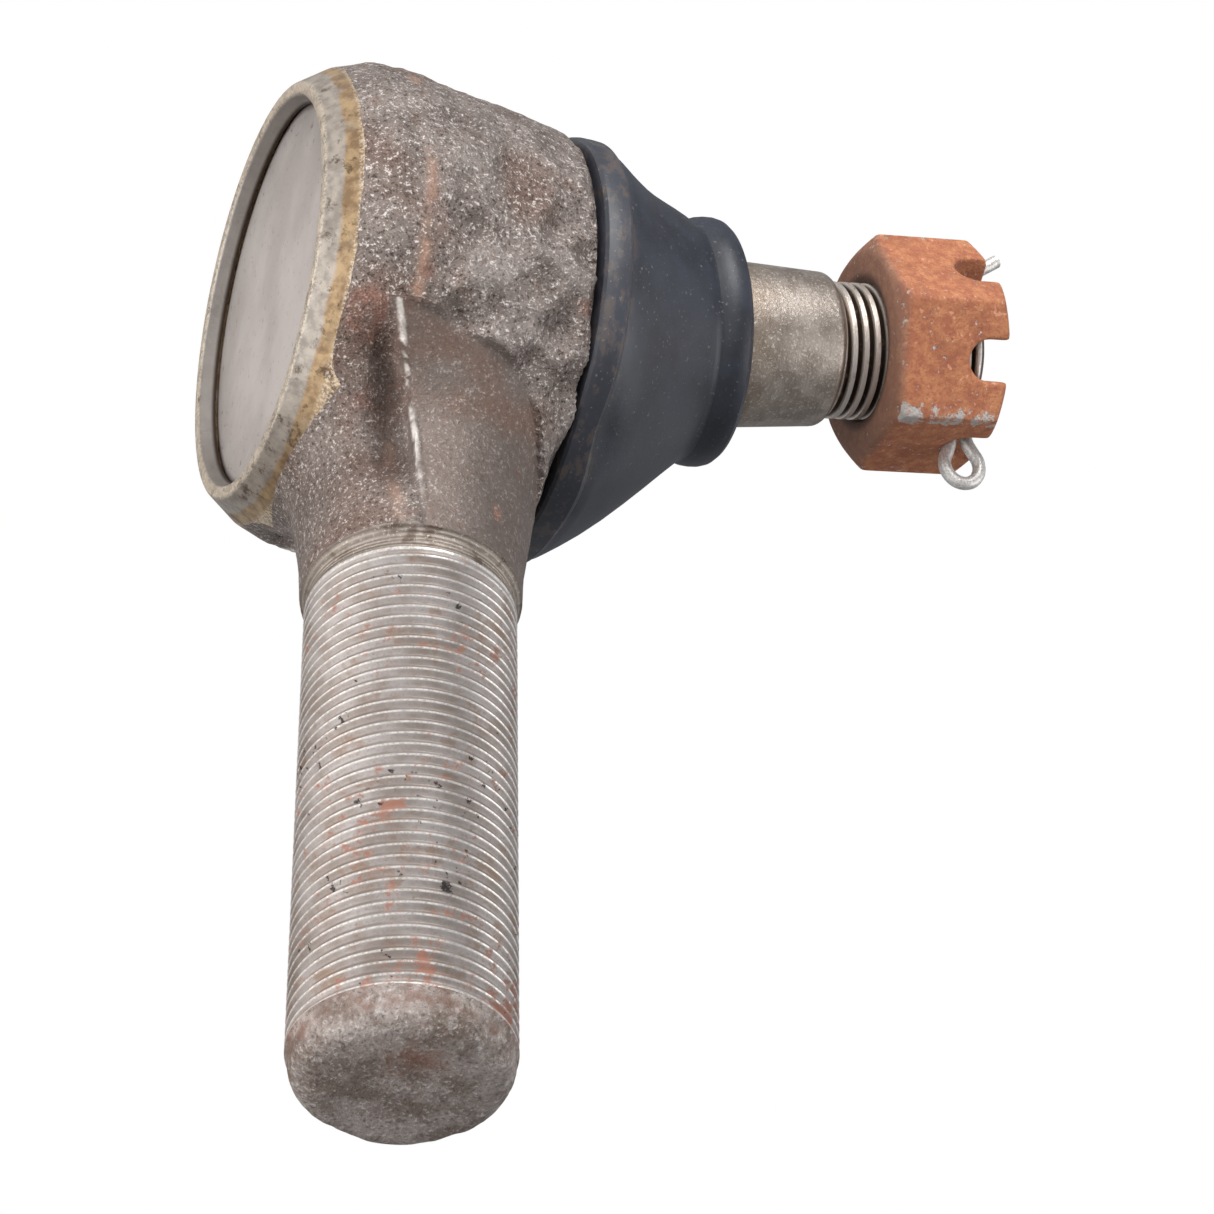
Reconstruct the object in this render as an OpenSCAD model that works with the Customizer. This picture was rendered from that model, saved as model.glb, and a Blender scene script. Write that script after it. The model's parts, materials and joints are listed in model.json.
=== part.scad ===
// Outer tie rod end: a forged socket housing with a threaded shank, a swivelling taper stud
// held between bearing seats, a rolled-in end cap, a rubber dust boot, and a slotted nut with
// its cotter pin.
//
// Frame: the origin is the centre of the rolled rim's flat underside, where the part stands.
// +Z runs up the socket axis through the ball centre, and +X runs along the shank.
// Lengths are millimetres, angles are degrees.

/* [Ball and bearings] */
// Diameter of the stud's ball head and its half-ball bearing
ball_d = 28; // [24:0.5:34]
// Radial thickness of the bearing seats beside the ball
seat_wall = 5.1; // [4:0.1:7]
// Running clearance between parts that turn on each other
run_clear = 0.05; // [0.02:0.01:0.1]
// Height of the flat land where a seat stops short of the ball's equator
seat_gap = 1; // [0.6:0.1:2]
// Thickness of the dished preload washer's steel
washer_t = 1.2; // [0.8:0.1:1.6]
// Height that the dished preload washer takes up
washer_h = 2.9; // [2.4:0.1:3.6]

/* [Housing] */
// Wall of the forged socket beside the seats, at its widest
housing_wall = 8.15; // [6.5:0.05:10]
// How much the socket narrows in radius between its widest belt and its top edge
housing_draft = 3.5; // [2:0.1:5]
// Thickness of the socket's top shoulder around the stud opening
shoulder_t = 2.4; // [1.8:0.1:4]
// Thickness of the steel end cap
cap_t = 2.6; // [2:0.1:3.5]
// Radial width of the step that the end cap sits on
cap_step = 3.3; // [2.7:0.1:4]
// Depth of the rolled lip below the end cap
lip_depth = 1.9; // [1.4:0.1:2.6]
// Radial overlap of the rolled lip on the end cap
lip_grip = 0.9; // [0.5:0.1:1.4]
// Radial width of the rolled lip's flat underside
lip_flat = 1.9; // [1.4:0.1:2.6]
// Section diameter of the cap's sealing ring
seal_d = 1.2; // [0.9:0.1:1.5]

/* [Shank] */
// Major diameter of the shank's thread
shank_d = 22.22; // [18:0.01:27]
// Distance from the ball centre to the shank's end, along the shank
shank_reach = 105.2; // [86:0.2:130]
// Length of the thread, up to the end chamfer
thread_len = 56; // [44:0.5:68]
// Length of the chamfer on the shank's end
shank_chamfer = 4.2; // [3:0.1:5.2]
// Angle by which the shank dips below square to the socket axis
shank_dip = 4.2; // [0:0.1:5.2]
// Extra diameter of the forged neck where it leaves the socket
neck_flare = 9; // [5:0.5:12]

/* [Stud] */
// Diameter of the stud's neck inside the half-ball bearing
stud_neck_d = 14; // [11.5:0.5:17]
// Diameter of the large end of the stud's taper, and of the land that the boot grips
taper_d = 19.6; // [16:0.1:24]
// Length of the taper
taper_len = 13.5; // [10:0.5:18]
// Taper on diameter, as a share of length
taper_rate = 0.125; // [0.1:0.005:0.17]
// Length of the rounded nose between the taper and the thread
nose_len = 1.5; // [1:0.1:2]
// Major diameter of the stud's thread
stud_thread_d = 15.88; // [13:0.01:17.4]
// Bare thread between the taper's nose and the nut
bare_thread = 4.5; // [3:0.1:8]
// How far the stud's end stays below the nut's outer face
stud_inset = 1.2; // [0.4:0.1:2]
// Lean of the stud from the socket axis as it rests
rest_lean = 8.5; // [0:0.5:12]
// Compass direction of that lean, from the shank's direction
rest_way = 225; // [150:5:270]

/* [Nut and cotter pin] */
// Width of the slotted nut across its flats
nut_af = 24; // [20:0.1:29]
// Height of the slotted nut
nut_h = 13.9; // [11.5:0.1:17]
// Height of the chamfer on the nut's corners
nut_chamfer = 1.3; // [0.8:0.1:1.8]
// Width of each slot in the nut
slot_w = 4.8; // [4:0.1:5.8]
// Depth of each slot in the nut
slot_depth = 5; // [4.1:0.1:6]
// Turn of the nut on the stud, from the shank's direction
nut_turn = 16; // [-30:1:60]
// Diameter of the cotter pin's closed legs
cotter_d = 3.2; // [2.6:0.1:3.9]
// Diameter of the cotter pin's wire around its eye
cotter_wire = 1.5; // [1.2:0.1:1.8]
// Length of the cotter pin's long leg, from its bend
cotter_leg = 9.6; // [6:0.1:10]
// Angle by which the long leg is bent up over the nut
cotter_bend = 60; // [30:5:60]

/* [Dust boot] */
// Radial distance that the boot's rim stands out past the socket's top edge
boot_overhang = 0.8; // [0.5:0.1:2]
// Height of the boot's thick rim
boot_rim_h = 3.8; // [3:0.1:5]
// Gap between the boot's rim and the socket
boot_gap = 0.35; // [0.3:0.05:0.6]
// Height of the boot's cone between its rim and its lip
boot_cone_h = 14.4; // [12:0.1:20]
// Radial width of the boot's thick rim
boot_rim_w = 7.2; // [6:0.1:8.7]
// Height of the boot's lip on the stud
boot_lip_h = 4.4; // [3.6:0.1:6]
// Radial thickness of the boot's lip
boot_lip_t = 4.5; // [3.6:0.1:5.5]

/* [Hidden] */
$fn = 96;

overrun = 1;
ball_r = ball_d / 2;
seat_r = ball_r + run_clear + seat_wall;
bore_r = seat_r + run_clear;
belt_r = bore_r + housing_wall;
top_r = belt_r - housing_draft;

// shares of the ball's radius where its head is cut flat and where the upper seat ends and opens
head_cut_share = 0.7;
seat_end_share = 0.72;
seat_mouth_share = 0.57;

// heights measured from the ball centre
head_cut = ball_r * head_cut_share;
seat_floor_t = 1.3;
lower_seat_z = -(head_cut + run_clear + seat_floor_t);
upper_seat_z = ball_r * seat_end_share;
cap_top_z = lower_seat_z - run_clear - washer_h;
cap_face_z = cap_top_z - cap_t;
rim_z = cap_face_z - lip_depth;
shoulder_z = upper_seat_z + run_clear;
top_z = shoulder_z + shoulder_t;
ball_h = -rim_z;

cap_r = bore_r + cap_step;
lip_r = cap_r - lip_grip;
lip_out_r = lip_r + lip_flat;
// the socket's widest belt lies between these shares of the rim's depth
belt_low_share = 0.62;
belt_high_share = 0.32;
belt_low_z = rim_z * belt_low_share;
belt_high_z = rim_z * belt_high_share;
// machined bevel of the rim: its height, and its share of the step out to the belt
bevel_h = 3.3;
bevel_share = 0.58;
bevel_z = rim_z + bevel_h;
bevel_r = lip_out_r + bevel_share * (belt_r - lip_out_r);
top_break = 0.6;
seal_inset = 0.9;
seal_seat_r = bore_r + seal_d / 2 + seal_inset;
wire_fn = 32;

// preload washer: its foot on the cap, its flat edge under the lower seat, and its room in the bore
washer_hole_r = bore_r * 0.45;
washer_foot = bore_r * 0.1;
washer_edge = 1.4;
washer_clear = 0.4;

// the stud may swing this far from the socket axis, and the openings clear it
swing_max = 20;
stud_neck_r = stud_neck_d / 2;
neck_clear = 0.6;
function neck_sweep(z) = z * tan(swing_max) + stud_neck_r / cos(swing_max) + neck_clear;
seat_mouth_z = ball_r * seat_mouth_share;
opening_round = 0.8;

shank_r = shank_d / 2;
thread_start = shank_reach - shank_chamfer - thread_len;
neck_root = ball_r;
// the end chamfer's depth, and the shallow run-out between the forged neck and the thread
chamfer_depth = 1.4;
shank_tip_r = shank_r - chamfer_depth;
runout_depth = 0.25;
runout_len = 2;
collar_len = 1;

taper_r = taper_d / 2;
boot_z = top_z + boot_gap;
boot_r = top_r + boot_overhang;
boot_cone_z = boot_z + boot_rim_h;
cone_step = 1.3;
boot_cone_r = boot_r - cone_step;
boot_rim_bore = boot_r - boot_rim_w;
boot_lip_r = taper_r + boot_lip_t;
boot_lip_z = boot_cone_z + boot_cone_h;
// the taper starts a little inside the boot's lip
lip_cover = 1.5;
taper_reach = boot_lip_z + boot_lip_h - lip_cover;
neck_blend = 3;
nose_drop = 0.25;
lead_len = 0.6;
end_chamfer = 1;
stud_root = 1;
taper_end_z = taper_reach + taper_len;
taper_end_r = taper_r - taper_len * taper_rate / 2;
stud_thread_r = stud_thread_d / 2;
nut_z = taper_end_z + nose_len + bare_thread;
nut_top_z = nut_z + nut_h;
stud_top_z = nut_top_z - stud_inset;
slot_floor_z = nut_top_z - slot_depth;
cotter_rise = 0.3;
cotter_z = slot_floor_z + cotter_d / 2 + cotter_rise;
cotter_hole_clear = 0.4;
cotter_hole_d = cotter_d + cotter_hole_clear;
cotter_eye_r = cotter_d - cotter_wire / 2 - run_clear;
leg_squeeze = 0.2;
leg_cut = 1;
nut_r = nut_af / 2 / cos(30);
face_inset = 0.4;
nut_face_r = nut_af / 2 - face_inset;
nut_lead = 0.9;
// the chamfer's cone, carried past the corners
chamfer_run = nut_r - nut_face_r + overrun;
chamfer_rise = nut_chamfer * chamfer_run / (nut_r - nut_face_r);
eye_bite = 0.1;
eye_reach = nut_af / 2 + cotter_eye_r - eye_bite;
thread_root = 0.6;

// the rings inside the boot: section, place, and the lip ring's play
ring_t = 1.6;
ring_h = 2;
ring_cover = 2;
ring_up = 0.9;
ring_play = 0.1;
lip_edge = 0.6;
bore_play = 0.4;
disc_t = 0.2;
disc_fn = 64;
// a cut that ends on a face passes it by this
skim = 0.01;

// stands the ball centre at its height above the rim
module from_ball() { translate([0, 0, ball_h]) children(); }

// carries what is built along +Z from the ball centre to the stud's resting lean
module along_stud() {
    from_ball() rotate([0, 0, rest_way]) rotate([0, rest_lean, 0]) rotate([0, 0, -rest_way]) children();
}

// carries what is built along +Z to the shank's direction, from the ball centre
module along_shank() { from_ball() rotate([0, 90 + shank_dip, 0]) children(); }

// a ring of rectangular section between two radii
module band(r_in, r_out, z_low, z_high) {
    rotate_extrude() translate([r_in, z_low]) square([r_out - r_in, z_high - z_low]);
}

module forged_housing() color([0.45, 0.42, 0.40]) {
    difference() {
        union() {
            from_ball() rotate_extrude() polygon([
                [0, rim_z], [lip_out_r, rim_z], [bevel_r, bevel_z], [belt_r, belt_low_z],
                [belt_r, belt_high_z], [top_r + top_break, top_z - top_break], [top_r - top_break, top_z],
                [0, top_z]]);
            // forged neck, thread blank and end chamfer
            along_shank() {
                translate([0, 0, neck_root])
                    cylinder(h = thread_start - runout_len - collar_len - neck_root,
                        r1 = shank_r + neck_flare / 2, r2 = shank_r);
                cylinder(h = thread_start - runout_len, r = shank_r);
                cylinder(h = thread_start, r = shank_r - runout_depth);
                translate([0, 0, thread_start]) cylinder(h = thread_len, r = shank_r);
                translate([0, 0, thread_start + thread_len])
                    cylinder(h = shank_chamfer, r1 = shank_r, r2 = shank_tip_r);
            }
        }
        // bore for the seats, step for the cap, mouth of the lip and opening for the stud
        from_ball() {
            translate([0, 0, cap_top_z - overrun]) cylinder(h = shoulder_z - cap_top_z + overrun, r = bore_r);
            translate([0, 0, cap_face_z]) cylinder(h = cap_t, r = cap_r);
            translate([0, 0, rim_z - overrun]) cylinder(h = lip_depth + 2 * overrun, r = lip_r);
            translate([0, 0, shoulder_z - overrun])
                cylinder(h = top_z - shoulder_z + 2 * overrun, r = neck_sweep(top_z));
            // flat that the boot's rim lies over, clear of the forged neck
            translate([0, 0, top_z]) cylinder(h = ball_d, r = boot_r + boot_gap);
            translate([0, 0, top_z - opening_round])
                cylinder(h = opening_round + skim, r1 = neck_sweep(top_z),
                         r2 = neck_sweep(top_z) + opening_round);
            seal_ring();
        }
    }
}

// the seal, half sunk in the cap and half in the housing's step
module seal_ring() {
    translate([0, 0, cap_top_z]) rotate_extrude() translate([seal_seat_r, 0]) circle(d = seal_d, $fn = wire_fn);
}

module end_cap() color([0.62, 0.61, 0.59]) from_ball() difference() {
    translate([0, 0, cap_face_z]) cylinder(h = cap_t, r = cap_r);
    seal_ring();
}

module cap_seal() color([0.08, 0.08, 0.09]) from_ball() seal_ring();

module preload_washer() color([0.30, 0.32, 0.36]) from_ball() translate([0, 0, cap_top_z])
    rotate_extrude() polygon([
        [washer_hole_r, 0], [washer_hole_r + washer_foot, 0],
        [bore_r - washer_clear, washer_h - washer_t], [bore_r - washer_clear, washer_h],
        [bore_r - washer_clear - washer_edge, washer_h], [washer_hole_r, washer_t]]);

module lower_seat() color([0.86, 0.82, 0.70]) from_ball() difference() {
    translate([0, 0, lower_seat_z]) cylinder(h = -seat_gap - lower_seat_z, r = seat_r);
    sphere(r = ball_r + run_clear);
    translate([0, 0, lower_seat_z - overrun]) cylinder(h = overrun + seat_floor_t + run_clear, r = ball_r / 2);
}

module upper_seat() color([0.80, 0.76, 0.64]) from_ball() difference() {
    translate([0, 0, seat_gap]) cylinder(h = upper_seat_z - seat_gap, r = seat_r);
    sphere(r = ball_r + run_clear);
    cylinder(h = upper_seat_z + overrun, r = neck_sweep(seat_mouth_z));
    translate([0, 0, seat_mouth_z]) cylinder(h = upper_seat_z + skim - seat_mouth_z,
        r1 = neck_sweep(seat_mouth_z), r2 = neck_sweep(top_z));
}

module half_ball_bearing() color([0.55, 0.56, 0.58]) along_stud() difference() {
    intersection() {
        sphere(r = ball_r);
        translate([0, 0, run_clear]) cylinder(h = seat_mouth_z - run_clear, r = ball_d);
    }
    translate([0, 0, -overrun]) cylinder(h = ball_d, r = stud_neck_r + run_clear);
}

module ball_stud() color([0.66, 0.62, 0.55]) along_stud() difference() {
    union() {
        intersection() {
            sphere(r = ball_r);
            translate([0, 0, -head_cut]) cylinder(h = head_cut, r = ball_d);
        }
        rotate_extrude() polygon([
            [0, -stud_root], [stud_neck_r, -stud_root], [stud_neck_r, boot_z],
            [taper_r, boot_lip_z - neck_blend], [taper_r, taper_reach], [taper_end_r, taper_end_z],
            [taper_end_r - nose_drop, taper_end_z + nose_len / 2],
            [stud_thread_r - thread_root, taper_end_z + nose_len],
            [stud_thread_r - thread_root, taper_end_z + nose_len + lead_len],
            [stud_thread_r, taper_end_z + nose_len + 2 * lead_len],
            [stud_thread_r, stud_top_z - end_chamfer], [stud_thread_r - end_chamfer, stud_top_z],
            [0, stud_top_z]]);
    }
    // hole for the cotter pin
    translate([0, 0, cotter_z]) rotate([0, 90, nut_turn])
        cylinder(h = 2 * stud_thread_d, d = cotter_hole_d, center = true);
}

module slotted_nut() color([0.66, 0.38, 0.26]) along_stud() difference() {
    intersection() {
        translate([0, 0, nut_z]) rotate([0, 0, nut_turn + 30]) cylinder(h = nut_h, r = nut_r, $fn = 6);
        // turned chamfers on both ends
        rotate_extrude() polygon([
            [0, nut_z], [nut_face_r, nut_z], [nut_face_r + chamfer_run, nut_z + chamfer_rise],
            [nut_face_r + chamfer_run, nut_top_z - chamfer_rise], [nut_face_r, nut_top_z], [0, nut_top_z]]);
    }
    translate([0, 0, nut_z - overrun]) cylinder(h = nut_h + 2 * overrun, r = stud_thread_r);
    translate([0, 0, nut_z - skim])
        cylinder(h = nut_chamfer, r1 = stud_thread_r + nut_lead, r2 = stud_thread_r);
    for (turn = [0 : 60 : 300])
        rotate([0, 0, nut_turn + turn]) translate([stud_thread_r - overrun, 0, slot_floor_z])
            rotate([90, 0, 90]) linear_extrude(height = nut_af) nut_slot();
}

// outline of one slot, with a round floor at the origin
module nut_slot() {
    translate([0, slot_w / 2]) circle(d = slot_w);
    translate([-slot_w / 2, slot_w / 2]) square([slot_w, slot_depth]);
}

module cotter_pin() color([0.74, 0.74, 0.72]) along_stud()
    translate([0, 0, cotter_z]) rotate([0, 0, nut_turn]) {
        // eye, in the plane of the stud's axis
        translate([eye_reach, 0, 0]) rotate([90, 0, 0])
            rotate_extrude() translate([cotter_eye_r, 0]) circle(d = cotter_wire, $fn = wire_fn);
        // closed legs through the stud, the short one cut off in the slot
        translate([eye_reach - cotter_eye_r, 0, 0]) rotate([0, -90, 0])
            cylinder(h = eye_reach - cotter_eye_r + stud_thread_r, d = cotter_d - leg_squeeze);
        translate([leg_cut - stud_thread_r, 0, -cotter_d / 4]) rotate([0, -90, 0])
            cylinder(h = nut_af / 2 - stud_thread_r, d = cotter_wire);
        // long leg, bent up over the nut
        translate([-stud_thread_r, 0, cotter_d / 4]) {
            sphere(d = cotter_wire);
            rotate([0, cotter_bend - 90, 0]) cylinder(h = cotter_leg, d = cotter_wire);
        }
    }

// a disc square to the socket axis, or to the stud where tilt is true
module boot_disc(r, z, tilt) {
    if (tilt) along_stud() translate([0, 0, z]) cylinder(h = disc_t, r = r);
    else from_ball() translate([0, 0, z]) cylinder(h = disc_t, r = r);
}

module dust_boot() color([0.10, 0.11, 0.14]) difference() {
    union() {
        from_ball() translate([0, 0, boot_z]) cylinder(h = boot_rim_h, r = boot_r);
        hull() {
            boot_disc(boot_cone_r, boot_cone_z - disc_t, false, $fn = disc_fn);
            boot_disc(boot_lip_r - lip_edge, boot_lip_z, true, $fn = disc_fn);
        }
        along_stud() translate([0, 0, boot_lip_z]) cylinder(h = boot_lip_h, r = boot_lip_r);
    }
    // hollow of the rim, of the cone and of the lip
    from_ball() translate([0, 0, boot_z - overrun])
        cylinder(h = boot_rim_h + overrun, r = boot_rim_bore);
    hull() {
        boot_disc(boot_rim_bore, boot_cone_z - 2 * disc_t, false, $fn = disc_fn);
        boot_disc(taper_r + bore_play, boot_lip_z - disc_t, true, $fn = disc_fn);
    }
    along_stud() translate([0, 0, boot_lip_z - overrun])
        cylinder(h = boot_lip_h + 2 * overrun, r = taper_r + run_clear);
    // room for the two rings
    base_ring_section();
    lip_ring_section(ring_play);
}

// the ring moulded into the boot's rim
module base_ring_section() {
    from_ball() band(boot_rim_bore + ring_cover, boot_rim_bore + ring_cover + ring_t,
        boot_z + ring_up, boot_z + ring_up + ring_h);
}

// the ring inside the boot's lip, with play all round where the boot is cut for it
module lip_ring_section(play) {
    along_stud() band(taper_r + ring_cover - play, taper_r + ring_cover + ring_t + play,
        boot_lip_z + ring_up - play, boot_lip_z + ring_up + ring_h + play);
}

module boot_base_ring() color([0.50, 0.50, 0.52]) base_ring_section();

module boot_lip_ring() color([0.55, 0.55, 0.57]) lip_ring_section(0);

forged_housing();
end_cap();
cap_seal();
preload_washer();
lower_seat();
upper_seat();
half_ball_bearing();
ball_stud();
slotted_nut();
cotter_pin();
dust_boot();
boot_base_ring();
boot_lip_ring();
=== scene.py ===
import json
import math

import bpy
import numpy as np
from mathutils import Matrix, Vector, noise


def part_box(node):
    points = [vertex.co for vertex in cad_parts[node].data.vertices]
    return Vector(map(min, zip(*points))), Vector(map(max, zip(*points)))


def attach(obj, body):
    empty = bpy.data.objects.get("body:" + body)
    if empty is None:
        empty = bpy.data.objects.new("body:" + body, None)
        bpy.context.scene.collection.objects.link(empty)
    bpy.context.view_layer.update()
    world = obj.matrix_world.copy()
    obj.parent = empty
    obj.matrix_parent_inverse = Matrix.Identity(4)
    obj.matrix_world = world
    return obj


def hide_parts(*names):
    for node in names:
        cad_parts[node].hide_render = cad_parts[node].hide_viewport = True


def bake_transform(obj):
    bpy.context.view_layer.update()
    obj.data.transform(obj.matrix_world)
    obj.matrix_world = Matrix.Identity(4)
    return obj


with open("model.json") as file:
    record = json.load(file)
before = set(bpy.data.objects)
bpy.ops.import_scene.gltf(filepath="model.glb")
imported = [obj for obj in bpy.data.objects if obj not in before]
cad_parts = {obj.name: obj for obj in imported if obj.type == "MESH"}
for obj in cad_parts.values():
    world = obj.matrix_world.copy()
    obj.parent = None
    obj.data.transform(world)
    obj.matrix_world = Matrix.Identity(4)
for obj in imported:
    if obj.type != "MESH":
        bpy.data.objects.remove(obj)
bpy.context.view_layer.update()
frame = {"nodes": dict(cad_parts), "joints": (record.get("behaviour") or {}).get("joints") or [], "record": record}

# ---- camera --------------------------------------------------------------------------
# Looks up from below and beside the shank's end, turned on its side, through a long lens.
camera_place = Vector((0.3175, -0.2864, -0.1011))
camera_target = Vector((0.0243, 0.0135, 0.0446))
camera_roll = math.radians(101.1)
camera_data = bpy.data.cameras.new("camera")
camera_data.lens = 117.4
camera_data.sensor_width = 36
camera_data.clip_start = 0.01
camera = bpy.data.objects.new("camera", camera_data)
bpy.context.scene.collection.objects.link(camera)
aim = (camera_target - camera_place).to_track_quat("-Z", "Y").to_matrix().to_4x4()
camera.matrix_world = Matrix.Translation(camera_place) @ aim @ Matrix.Rotation(camera_roll, 4, "Z")
bpy.context.scene.camera = camera

# ---- forged housing ------------------------------------------------------------------
# The socket and its shank, one steel forging. It is hammered to shape between two dies, then
# the rim, the bores and the shank are turned, the shank is threaded, and the rim is rolled
# over the end cap. Everything between the turned faces keeps the rough forged skin.
mm = 0.001
up = Vector((0, 0, 1))
mounts = {mount["name"]: mount for mount in frame["record"]["mounts"]}
joints = {joint["name"]: joint for joint in frame["joints"]}
ball = Vector(joints["stud_spin"]["pos_m"])
stud_way = Vector(joints["stud_spin"]["axis"]).normalized()
shank_way = Vector(mounts["shank_thread"]["axis"]).normalized()
thread_long = mounts["shank_thread"]["dims"]["length_mm"] * mm
thread_middle = (Vector(mounts["shank_thread"]["pos_m"]) - ball).dot(shank_way)
thread_start = thread_middle - thread_long / 2
thread_end = thread_start + thread_long
shank_r = mounts["shank_thread"]["dims"]["r_mm"] * mm
threads_per_inch = 18
shank_pitch = 25.4 * mm / threads_per_inch
shank_end = thread_end + 4.2 * mm
belt_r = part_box("forged_housing")[1].y
cap_low, cap_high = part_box("end_cap")
cap_r = cap_high.x
run_gap = 0.05 * mm
bore_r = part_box("lower_seat")[1].x + run_gap
seat_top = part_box("upper_seat")[1].z + run_gap
socket_top = seat_top + 2.4 * mm
boot_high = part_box("dust_boot")[1]
socket_top_r = boot_high.y - 0.8 * mm
rim_lip_r = cap_r - 0.9 * mm
rim_flat_r = rim_lip_r + 1.9 * mm
bevel_r = rim_flat_r + 2.25 * mm
bevel_high = 3.3 * mm
forging_grain = 0.45 * mm


def along(way):
    """The place and turn that carry what is built up +Z to an axis through the ball's centre."""
    return Matrix.Translation(ball) @ up.rotation_difference(way).to_matrix().to_4x4()


def points_of(piece):
    """The piece's points, one row each."""
    points = np.empty(len(piece.data.vertices) * 3)
    piece.data.vertices.foreach_get("co", points)
    return points.reshape(-1, 3)


def move_points(piece, points):
    """Puts the piece's points where they are given."""
    piece.data.vertices.foreach_set("co", np.ascontiguousarray(points).ravel())
    piece.data.update()


def only(*pieces):
    """Selects these pieces alone, the first one active, or nothing where none are given."""
    bpy.ops.object.select_all(action="DESELECT")
    for piece in pieces:
        piece.select_set(True)
    if pieces:
        bpy.context.view_layer.objects.active = pieces[0]


def close_up(piece, gap=0):
    """Merges points closer than the gap and turns every face outward."""
    only(piece)
    bpy.ops.object.mode_set(mode="EDIT")
    bpy.ops.mesh.select_all(action="SELECT")
    if gap:
        bpy.ops.mesh.remove_doubles(threshold=gap)
    bpy.ops.mesh.normals_make_consistent(inside=False)
    bpy.ops.object.mode_set(mode="OBJECT")


def draw_out(profile, extrude):
    """Extrudes what is selected on through each (radius, height)."""
    for (radius, height), (radius_next, height_next) in zip(profile, profile[1:]):
        extrude(TRANSFORM_OT_translate={"value": (0, 0, height_next - height)})
        grow = radius_next / radius
        bpy.ops.transform.resize(value=(grow, grow, 1), center_override=(0, 0, height_next))


def turned(name, profile, segments, ring=False):
    """A piece turned on +Z through each (radius, height): solid, or a ring if the profile closes."""
    only()
    loop = list(profile) + ([profile[0]] if ring else [])
    fill = "NOTHING" if ring else "NGON"
    bpy.ops.mesh.primitive_circle_add(vertices=segments, radius=loop[0][0], fill_type=fill)
    piece = bpy.context.object
    piece.name = name
    bpy.ops.object.mode_set(mode="EDIT")
    bpy.ops.transform.translate(value=(0, 0, loop[0][1]))
    draw_out(loop, bpy.ops.mesh.extrude_edges_move if ring else bpy.ops.mesh.extrude_region_move)
    bpy.ops.object.mode_set(mode="OBJECT")
    close_up(piece, 0.001 * mm)
    return piece


def rounded(centre_r, centre_h, radius, start, end, count):
    """The (radius, height) points of an arc, from one angle in degrees to another."""
    angles = np.radians(np.linspace(start, end, count))
    return [(centre_r + radius * math.cos(a), centre_h + radius * math.sin(a)) for a in angles]


def finish_with(piece, kind, **settings):
    """Adds one modifier to the piece and applies it."""
    modifier = piece.modifiers.new(kind.lower(), kind)
    for key, value in settings.items():
        setattr(modifier, key, value)
    only(piece)
    bpy.ops.object.modifier_apply(modifier=modifier.name)


def machine(piece, tool, operation="DIFFERENCE"):
    """Cuts the piece with the tool, or joins or keeps what they share, and puts the tool away."""
    finish_with(piece, "BOOLEAN", operation=operation, object=tool, solver="EXACT",
                material_mode="TRANSFER")
    bpy.data.objects.remove(tool)


def smooth_soft_edges(piece, degrees):
    """Shades the piece smooth except at edges sharper than this."""
    only(piece)
    bpy.ops.object.shade_smooth_by_angle(angle=math.radians(degrees))


def step_up(x, low, high):
    """0 below low, 1 above high, and smooth between."""
    share = np.clip((x - low) / (high - low), 0, 1)
    return share * share * (3 - 2 * share)


def bump_at(distance, width):
    """1 at no distance, falling away smoothly over the width."""
    return np.exp(-((distance / width) ** 2))


def fractal(points, size, octaves):
    """Soft noise over the points, about -1 to 1, with its largest features this size."""
    return np.array([noise.fractal(Vector(p / size), 0.8, 2.1, octaves) for p in points])


def scallops(points, size):
    """0 in the middle of each hammer mark and 1 on the ridges between them."""
    return np.array([noise.voronoi(Vector(p / size))[0][0] for p in points])


def distance_to_line(points, line):
    """How far each point is from a line of straight stretches."""
    nearest = np.full(len(points), 1.0)
    for a, b in zip(line, line[1:]):
        a, b = np.array(a), np.array(b)
        share = np.clip((points - a) @ (b - a) / ((b - a) @ (b - a)), 0, 1)
        nearest = np.minimum(nearest, np.linalg.norm(points - a - share[:, None] * (b - a), axis=1))
    return nearest


# the socket's outside above the rim, as (radius, height), and the neck's along the shank
forged_belt_r = belt_r - 0.15 * mm
socket_line = [(bevel_r - 1.6 * mm, -1 * mm), (forged_belt_r, 7.0 * mm), (forged_belt_r, 12.6 * mm),
               (socket_top_r + 0.5 * mm, socket_top - 0.9 * mm), (socket_top_r - 0.6 * mm, socket_top)]
neck_line = [(16.2 * mm, 10 * mm), (14.9 * mm, 20 * mm), (12.9 * mm, 30 * mm), (11.9 * mm, 38 * mm),
             (11.5 * mm, thread_start + 0.4 * mm)]


def forged_depth(points):
    """How far each point lies outside the forging before it is hammered, less where it is inside."""
    radius = np.hypot(points[:, 0], points[:, 1])
    heights = [height for _, height in socket_line]
    socket = np.interp(points[:, 2], heights, [r for r, _ in socket_line])
    outside = np.maximum(radius - socket, points[:, 2] - socket_top)
    from_ball = points - np.array(ball)
    reach = from_ball @ np.array(shank_way)
    off_axis = np.linalg.norm(from_ball - reach[:, None] * np.array(shank_way), axis=1)
    neck = off_axis - np.interp(reach, [h for _, h in neck_line], [r for r, _ in neck_line])
    fillet = 5.5 * mm
    share = np.clip(1 - np.abs(outside - neck) / fillet, 0, 1)
    return np.minimum(outside, neck) - share * share * fillet / 4


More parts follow.
